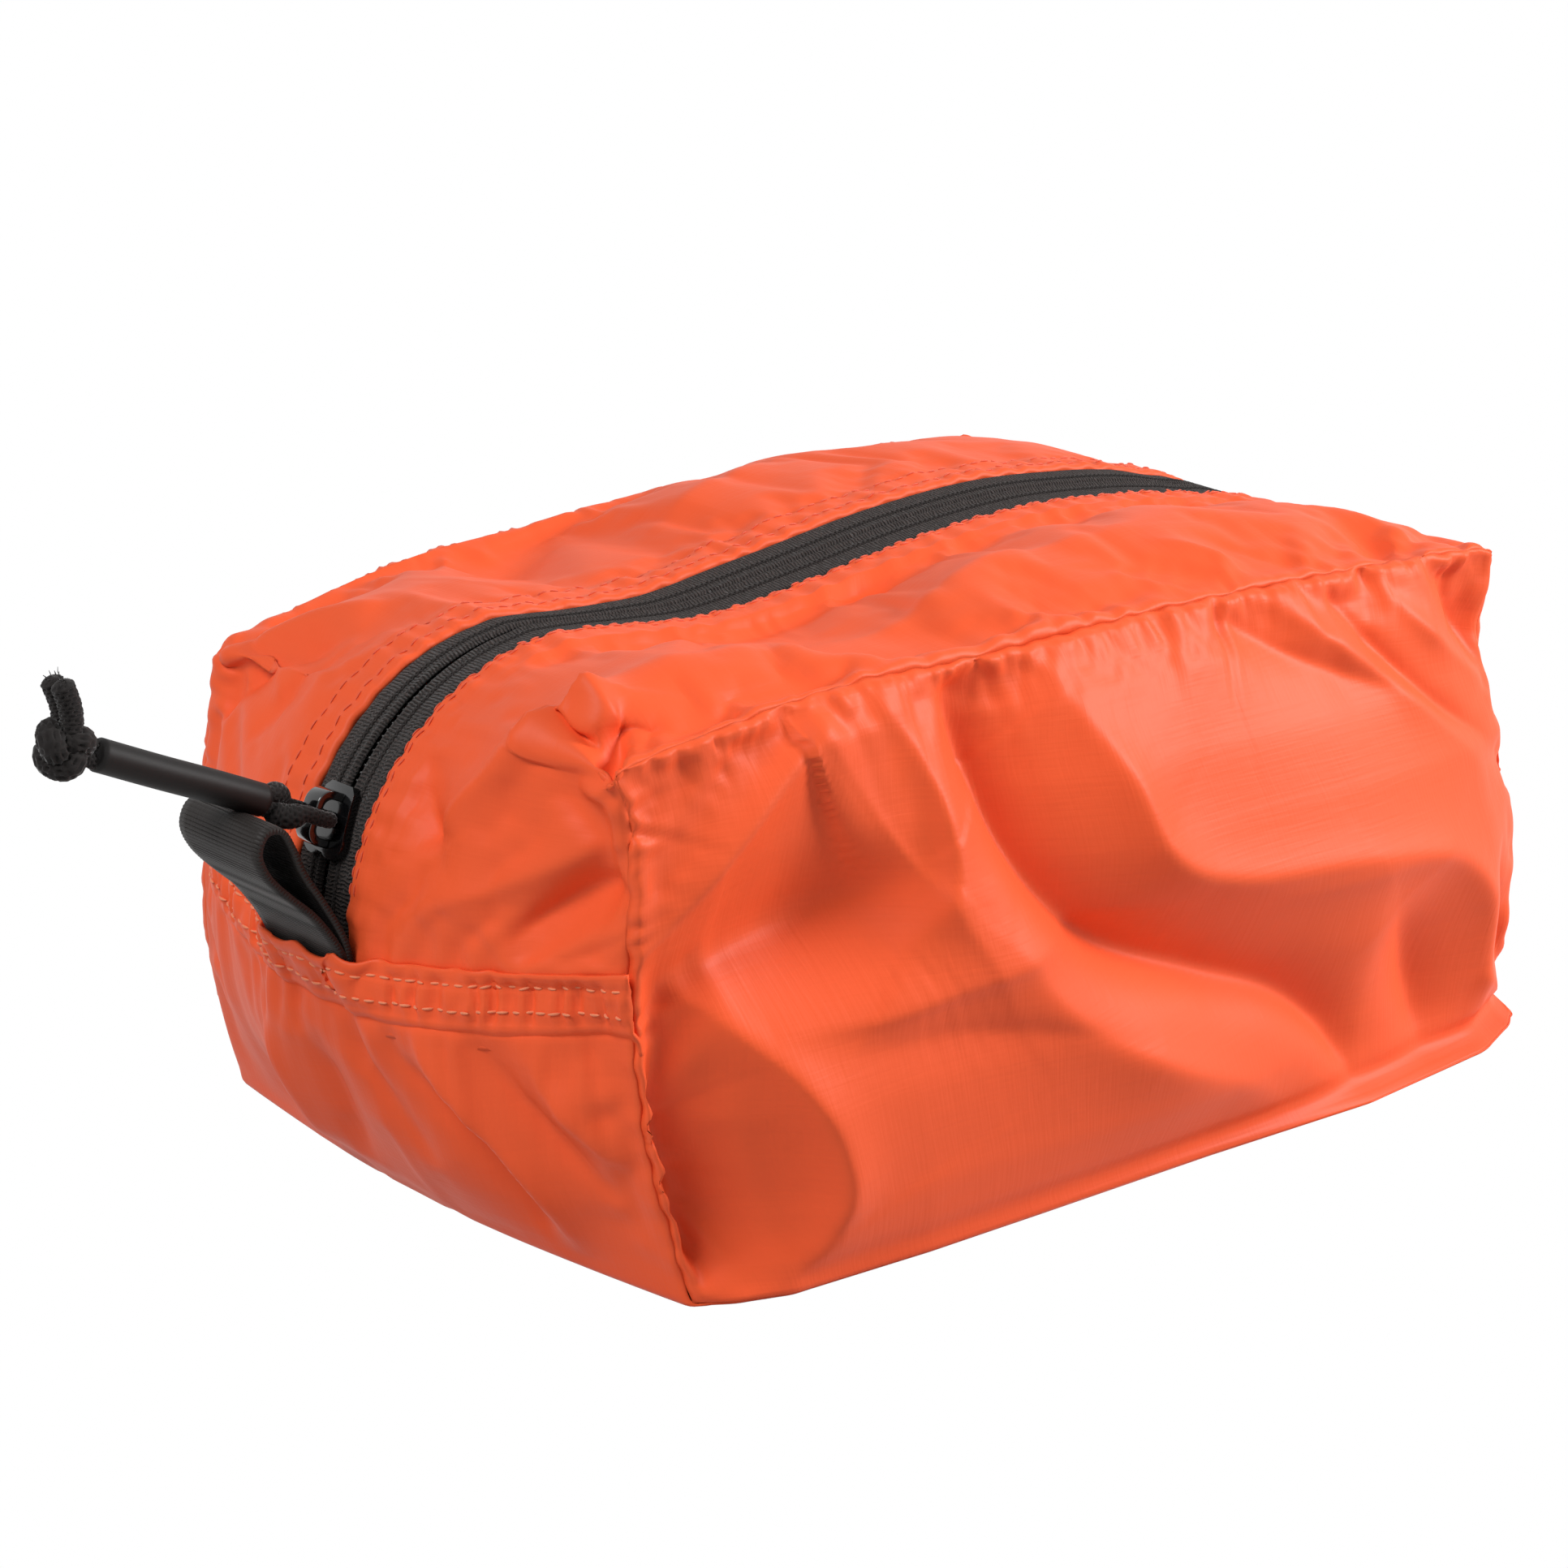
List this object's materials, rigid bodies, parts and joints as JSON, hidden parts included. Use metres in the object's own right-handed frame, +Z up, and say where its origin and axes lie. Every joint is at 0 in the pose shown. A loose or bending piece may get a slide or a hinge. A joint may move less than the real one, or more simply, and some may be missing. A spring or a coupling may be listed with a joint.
{
  "type": "stuff sack",
  "caption": "Small box-shaped zippered stuff sack in thin orange nylon, with bulged side panels, a zip over the top, a cord pull and webbing end tabs.",
  "frame": {"origin": "centre of the flat face that the sack rests on", "axes": "+X along the sack from the zip's closed end, where the slider is, to its other end; +Y from the front panel to the back panel; +Z up, from the floor to the zip"},
  "size_m": [0.2782, 0.1558, 0.0933],
  "materials": {
    "cloth": "satin",
    "zip_tape": "matte",
    "zip_coil": "satin",
    "slider": "gloss",
    "cord": "matte",
    "sleeve": "matte",
    "webbing": "satin"
  },
  "bodies": {
    "sack": {"front_panel": "cloth", "back_panel": "cloth", "front_zip_gusset": "cloth", "back_zip_gusset": "cloth", "bottom_gusset": "cloth", "left_end_seam": "cloth", "right_end_seam": "cloth", "front_zip_tape": "zip_tape", "back_zip_tape": "zip_tape", "front_zip_coil": "zip_coil", "back_zip_coil": "zip_coil"},
    "slider": {"slider_body": "slider", "slider_crown": "slider"},
    "pull": {"pull_cord": "cord", "pull_sleeve": "sleeve", "pull_knot": "cord"},
    "left_tab": {"left_tab": "webbing"},
    "right_tab": {"right_tab": "webbing"}
  },
  "joints": [
    {"name": "slider_travel", "type": "hinge", "parent": "sack", "child": "slider", "pos_m": [-0.0675, 0, 0.046], "axis": [0, 1, 0], "range_deg": [0, 60]},
    {"name": "pull_swing", "type": "hinge", "parent": "slider", "child": "pull", "pos_m": [-0.10656, 0, 0.06421], "axis": [0, 1, 0], "range_deg": [0, 80]},
    {"name": "left_tab_bend", "type": "hinge", "parent": "sack", "child": "left_tab", "pos_m": [-0.1115, 0, 0.0463], "axis": [0, -1, 0], "range_deg": [0, 135]},
    {"name": "right_tab_bend", "type": "hinge", "parent": "sack", "child": "right_tab", "pos_m": [0.1115, 0, 0.0463], "axis": [0, 1, 0], "range_deg": [0, 135]}
  ]
}
